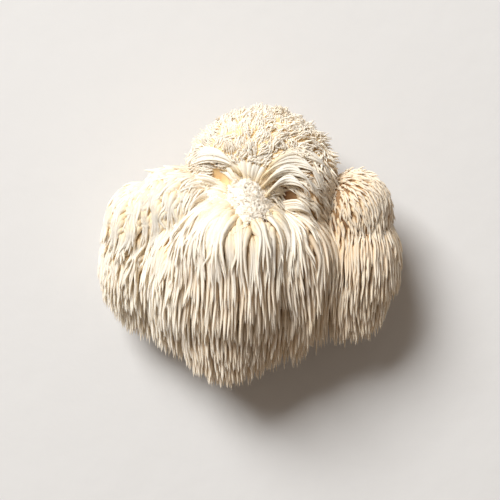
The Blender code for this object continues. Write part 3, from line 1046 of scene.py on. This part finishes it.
def flesh_material(name, deep, pale):
    """Spongy flesh: mottled, golden where it is young, which is partly painted glow of light through it,
    and brown deep in its creases as painted shade.
    """
    material, tree, place = new_material(name)
    young, painted_crease_shade = (
        add_node(tree, "ShaderNodeAttribute", {"attribute_name": key}).outputs["Fac"]
        for key in ("pale", "painted_crease_shade"))
    # Mottling about 3 mm across
    mottle = add_node(tree, "ShaderNodeTexNoise", {}, {
        "Vector": place, "Scale": noise_scale(3.03), "Detail": 4.0})
    mottled = add_node(tree, "ShaderNodeValToRGB", {}, {"Fac": mottle.outputs["Fac"]},
                       ((0.3, deep), (0.7, pale)))
    # Golden young flesh, which is partly painted glow, and paler where the top and the lower left face the
    # light, as painted light
    by_age_and_painted_light = add_node(tree, "ShaderNodeMix", {"data_type": "RGBA"}, {
        "Factor": young, "A": mottled.outputs["Color"], "B": linear(YOUNG_FLESH_WITH_PAINTED_GLOW)})
    # Painted shade: flesh deep in a crease is painted dark brown
    by_depth = add_node(tree, "ShaderNodeMix", {"data_type": "RGBA"}, {
        "Factor": painted_crease_shade, "A": by_age_and_painted_light.outputs["Result"], "B": linear(PAINTED_CREASE_SHADE)})
    bump = add_node(tree, "ShaderNodeBump", {}, {
        "Height": mottle.outputs["Fac"], "Strength": 0.4, "Distance": 0.6 * MM})
    finish_surface(tree, by_depth.outputs["Result"], bump.outputs["Normal"], fungus_finish(0.65))
    return material


def floor_material(colour):
    """Matte plaster board: one even colour with a soft ripple, 17 mm apart."""
    material, tree, place = new_material("matte_plaster_board")
    ripple = add_node(tree, "ShaderNodeTexNoise", {}, {
        "Vector": place, "Scale": noise_scale(16.7), "Detail": 5.0})
    bump = add_node(tree, "ShaderNodeBump", {}, {
        "Height": ripple.outputs["Fac"], "Strength": 0.25, "Distance": 1.0 * MM})
    finish_surface(tree, None, bump.outputs["Normal"], {
        "Base Color": linear(colour), "Roughness": 0.9, "Specular IOR Level": 0.1})
    return material


# Settings that a user would change

class LionsManeSettings(bpy.types.PropertyGroup):
    """Sizes and colours of the fruit body."""

    seed: bpy.props.IntProperty(name="Seed", description="Which of many like growths", default=7)
    spacing_scale: bpy.props.FloatProperty(
        name="Spine spacing", description="Distance between spines against the natural one", default=1.0)
    length_scale: bpy.props.FloatProperty(
        name="Spine length", description="Length of the spines against the natural one", default=1.0)
    thickness_scale: bpy.props.FloatProperty(
        name="Spine thickness", description="Thickness of the spines against the natural one",
        default=1.0)
    curl: bpy.props.FloatProperty(name="Curl", description="How much the short spines curl", default=1.0)
    clumping: bpy.props.FloatProperty(
        name="Clumping", description="How far spines draw together into locks", default=1.0)
    # The root colour's tan is partly painted shade of the deep gaps between the spines
    root_colour: bpy.props.StringProperty(
        name="Root colour", description="sRGB hex colour of a spine at its root", default="#DEC5A2")
    spine_colour: bpy.props.StringProperty(
        name="Spine colour", description="sRGB hex colour along a spine", default="#F4E9D8")
    tip_colour: bpy.props.StringProperty(
        name="Tip colour", description="sRGB hex colour of a spine's tip", default="#FAF3E7")
    # The flesh's two colours are partly its own tan and partly painted shade, darkened for the creases
    # between the spines where the flesh shows
    flesh_colour: bpy.props.StringProperty(
        name="Flesh colour", description="sRGB hex colour of the flesh", default="#CBA67C")
    deep_colour: bpy.props.StringProperty(
        name="Deep flesh colour", description="sRGB hex colour in the flesh's darker mottles",
        default="#AD8660")
    scar_colour: bpy.props.StringProperty(
        name="Scar colour", description="sRGB hex colour of the torn scar", default="#F7F2E8")


class StageSettings(bpy.types.PropertyGroup):
    """Floor, light and camera."""

    floor_colour: bpy.props.StringProperty(
        name="Floor colour", description="sRGB hex colour of the floor", default="#DEDEDE")
    key_power: bpy.props.FloatProperty(
        name="Key light", description="Power of the window-like light", default=172.0, unit="POWER")
    fill: bpy.props.FloatProperty(name="Fill", description="Strength of the light all round", default=0.20)
    framed: bpy.props.FloatProperty(
        name="Framed width", description="Width that the picture covers at the mushroom",
        default=PHOTO_SIDE * PIXEL_MM * MM, unit="LENGTH")
    lens: bpy.props.FloatProperty(
        name="Lens", description="Focal length in millimetres", default=85.0, unit="CAMERA")


# One operator for each piece or group of like pieces

class LIONSMANE_OT_flesh(bpy.types.Operator):
    """Add the flesh that everything grows from"""

    bl_idname = "lionsmane.flesh"
    bl_label = "Flesh"

    def execute(self, context):
        settings = context.scene.lions_mane
        deselect_all()
        bpy.ops.mesh.primitive_ico_sphere_add(subdivisions=FLESH_SUBDIVISIONS, radius=1.0)
        made = context.object
        made.name = "flesh"
        directions = unit(np.array([vertex.co for vertex in made.data.vertices]))
        places = flesh_points(directions)
        rise, _, _ = tuft_rise(places, grown_tufts(settings))
        pale = pale_tone_and_painted_light(places)
        for x, y, radius in BROWN_PITS:
            start, full = (share * radius for share in BROWN_REACH)
            pale *= smooth(across(places, (x, y)), start, full)
        # Painted shade: deep down in a crease, where the flesh stands steep, it is painted browner
        facing = dots(surface_at(places + CREASE_PROBE * directions)[0], directions)[:, 0]
        painted_crease_shade = 1.0 - smooth(facing, *CREASE_FACING)
        painted_crease_shade *= smooth(across(places, GOLDEN_SLOT[:2]), *GOLDEN_REACH)
        places += directions * rise[:, None]
        places[:, Z] = np.maximum(places[:, Z], FLESH_LOWEST)
        made.data.vertices.foreach_set("co", to_frame(places).astype(np.float32).ravel())
        made.data.shade_smooth()
        mark(made, "pale", pale * (1.0 - painted_crease_shade))
        mark(made, "painted_crease_shade", painted_crease_shade)
        made.data.materials.append(
            flesh_material("spongy_fungus_flesh", settings.deep_colour, settings.flesh_colour))
        as_piece(made)
        return {"FINISHED"}


class LIONSMANE_OT_spines(bpy.types.Operator):
    """Add the crown's wool and all hanging spines"""

    bl_idname = "lionsmane.spines"
    bl_label = "Spines"

    def execute(self, context):
        settings = context.scene.lions_mane
        random = np.random.default_rng(settings.seed + 1)
        material = spine_material(
            "ivory_fungus_spines", settings.root_colour, settings.spine_colour, settings.tip_colour)
        for name, (lines, radii, tint, pale) in grown()["pieces"].items():
            sides = SPINE_SIDES
            if name == "crown_wool":
                sides = WOOL_SIDES
                lines, radii = every_other_ring(lines), every_other_ring(radii)
            strand = OWN_TINT * random.uniform(0.0, 1.0, len(lines)) + LOCK_TINT * tint
            made = tube_object(name, lines, radii, sides, material, strand=strand, pale=pale)
            as_piece(made)
        return {"FINISHED"}


class LIONSMANE_OT_ribs(bpy.types.Operator):
    """Add the smooth ribs that fan out of the scar"""

    bl_idname = "lionsmane.ribs"
    bl_label = "Ribs"

    def execute(self, context):
        settings = context.scene.lions_mane
        random = np.random.default_rng(settings.seed + 2)
        lines, radii = rib_lines(random)
        material = spine_material(
            "ivory_fungus_ribs", settings.spine_colour, settings.tip_colour, settings.spine_colour)
        strand = random.uniform(*RIB_TINT, len(lines))
        pale = np.ones(len(lines))
        made = tube_object("ribs", lines, radii, RIB_SIDES, material, strand=strand, pale=pale)
        as_piece(made)
        return {"FINISHED"}


class LIONSMANE_OT_scar(bpy.types.Operator):
    """Add the torn, cottony growth scar"""

    bl_idname = "lionsmane.scar"
    bl_label = "Growth scar"

    def execute(self, context):
        settings = context.scene.lions_mane
        random = np.random.default_rng(settings.seed + 3)
        spots, sizes = scar_knobs(random)
        made = self.melted_knobs(context, spots, sizes)
        made.name = "growth_scar"
        self.roughen(made)
        made.data.shade_smooth()
        material = flesh_material("torn_fungus_flesh", settings.spine_colour, settings.scar_colour)
        made.data.materials.append(material)
        as_piece(made)
        lines, radii = scar_fibres(random, spots)
        as_piece(tube_object("scar_fibres", lines, radii, FIBRE_SIDES, material))
        return {"FINISHED"}

    def melted_knobs(self, context, spots, sizes):
        """Small balls joined and melted into one closed skin."""
        deselect_all()
        knobs = []
        for spot, size in zip(to_frame(spots), sizes):
            bpy.ops.mesh.primitive_ico_sphere_add(subdivisions=2, radius=size * MM, location=spot)
            knobs.append(context.object)
        for knob in knobs:
            knob.select_set(True)
        context.view_layer.objects.active = knobs[0]
        bpy.ops.object.join()
        bpy.ops.object.transform_apply(location=True, rotation=True, scale=True)
        made = context.object
        skin = made.modifiers.new("skin", "REMESH")
        skin.mode = "VOXEL"
        skin.voxel_size = PAD_VOXEL * MM
        bpy.ops.object.modifier_apply(modifier=skin.name)
        return made

    def roughen(self, made):
        """Pushes the skin in and out in coarse and fine lumps."""
        for vertex in made.data.vertices:
            spot = vertex.co / MM
            coarse = noise.fractal(spot * COARSE_LUMPS_PER_MM, LUMP_ROUGHNESS, LUMP_STEP, LUMP_OCTAVES)
            fine = noise.noise(spot * FINE_LUMPS_PER_MM)
            vertex.co += vertex.normal * (COARSE_LUMP * coarse + FINE_LUMP * fine) * MM


class LIONSMANE_OT_stage(bpy.types.Operator):
    """Add the floor, the light and the camera"""

    bl_idname = "lionsmane.stage"
    bl_label = "Stage"

    def execute(self, context):
        settings = context.scene.lions_mane_stage
        self.lay_floor(context, settings)
        self.hang_light(context, settings)
        self.fill_room(context, settings)
        self.set_camera(context, settings)
        context.scene.view_settings.view_transform = "Standard"
        return {"FINISHED"}

    def lay_floor(self, context, settings):
        deselect_all()
        bpy.ops.mesh.primitive_plane_add(size=FLOOR_SIDE)
        floor = context.object
        floor.name = "floor"
        floor.data.materials.append(floor_material(settings.floor_colour))

    def hang_light(self, context, settings):
        """One large light, up and to the left behind the mushroom."""
        data = bpy.data.lights.new("window", "AREA")
        data.energy = settings.key_power
        data.size = LIGHT_SIDE
        data.color = LIGHT_COLOUR
        light = bpy.data.objects.new("window", data)
        context.scene.collection.objects.link(light)
        turn, rise = math.radians(LIGHT_ROUND), math.radians(LIGHT_UP)
        aim = Vector((math.sin(turn) * math.cos(rise), math.cos(turn) * math.cos(rise), math.sin(rise)))
        light.location = aim * LIGHT_DISTANCE
        light.rotation_euler = (-aim).to_track_quat("-Z", "Y").to_euler()

    def fill_room(self, context, settings):
        """The warm light that the room's walls give back."""
        world = bpy.data.worlds.new("studio")
        world.use_nodes = True
        background = world.node_tree.nodes["Background"]
        background.inputs["Color"].default_value = FILL_COLOUR
        background.inputs["Strength"].default_value = settings.fill
        context.scene.world = world

    def set_camera(self, context, settings):
        """A camera straight above, so that the photograph's middle is in the middle."""
        data = bpy.data.cameras.new("camera")
        data.lens = settings.lens
        camera = bpy.data.objects.new("camera", data)
        context.scene.collection.objects.link(camera)
        distance = settings.framed * settings.lens / data.sensor_width
        middle_y = (ORIGIN_PIXEL[1] - PHOTO_SIDE / 2) * PIXEL_MM * MM
        camera.location = (0.0, middle_y, FRAMED_Z + distance)
        context.scene.camera = camera


class LIONSMANE_PT_panel(bpy.types.Panel):
    """Buttons for each piece of the mushroom"""

    bl_label = "Lion's Mane Mushroom"
    bl_idname = "LIONSMANE_PT_panel"
    bl_space_type = "VIEW_3D"
    bl_region_type = "UI"
    bl_category = "Mushroom"

    def draw(self, context):
        for operator in OPERATORS:
            self.layout.operator(operator.bl_idname)
        for group in (context.scene.lions_mane, context.scene.lions_mane_stage):
            for key in group.__annotations__:
                self.layout.prop(group, key)


OPERATORS = (
    LIONSMANE_OT_flesh,
    LIONSMANE_OT_spines,
    LIONSMANE_OT_ribs,
    LIONSMANE_OT_scar,
    LIONSMANE_OT_stage,
)
CLASSES = (LionsManeSettings, StageSettings, *OPERATORS, LIONSMANE_PT_panel)


def register():
    for cls in CLASSES:
        bpy.utils.register_class(cls)
    bpy.types.Scene.lions_mane = bpy.props.PointerProperty(type=LionsManeSettings)
    bpy.types.Scene.lions_mane_stage = bpy.props.PointerProperty(type=StageSettings)


def unregister():
    del bpy.types.Scene.lions_mane_stage
    del bpy.types.Scene.lions_mane
    for cls in reversed(CLASSES):
        bpy.utils.unregister_class(cls)


def main():
    register()
    bpy.ops.lionsmane.flesh()
    bpy.ops.lionsmane.spines()
    bpy.ops.lionsmane.ribs()
    bpy.ops.lionsmane.scar()
    bpy.ops.lionsmane.stage()


if __name__ == "__main__":
    main()
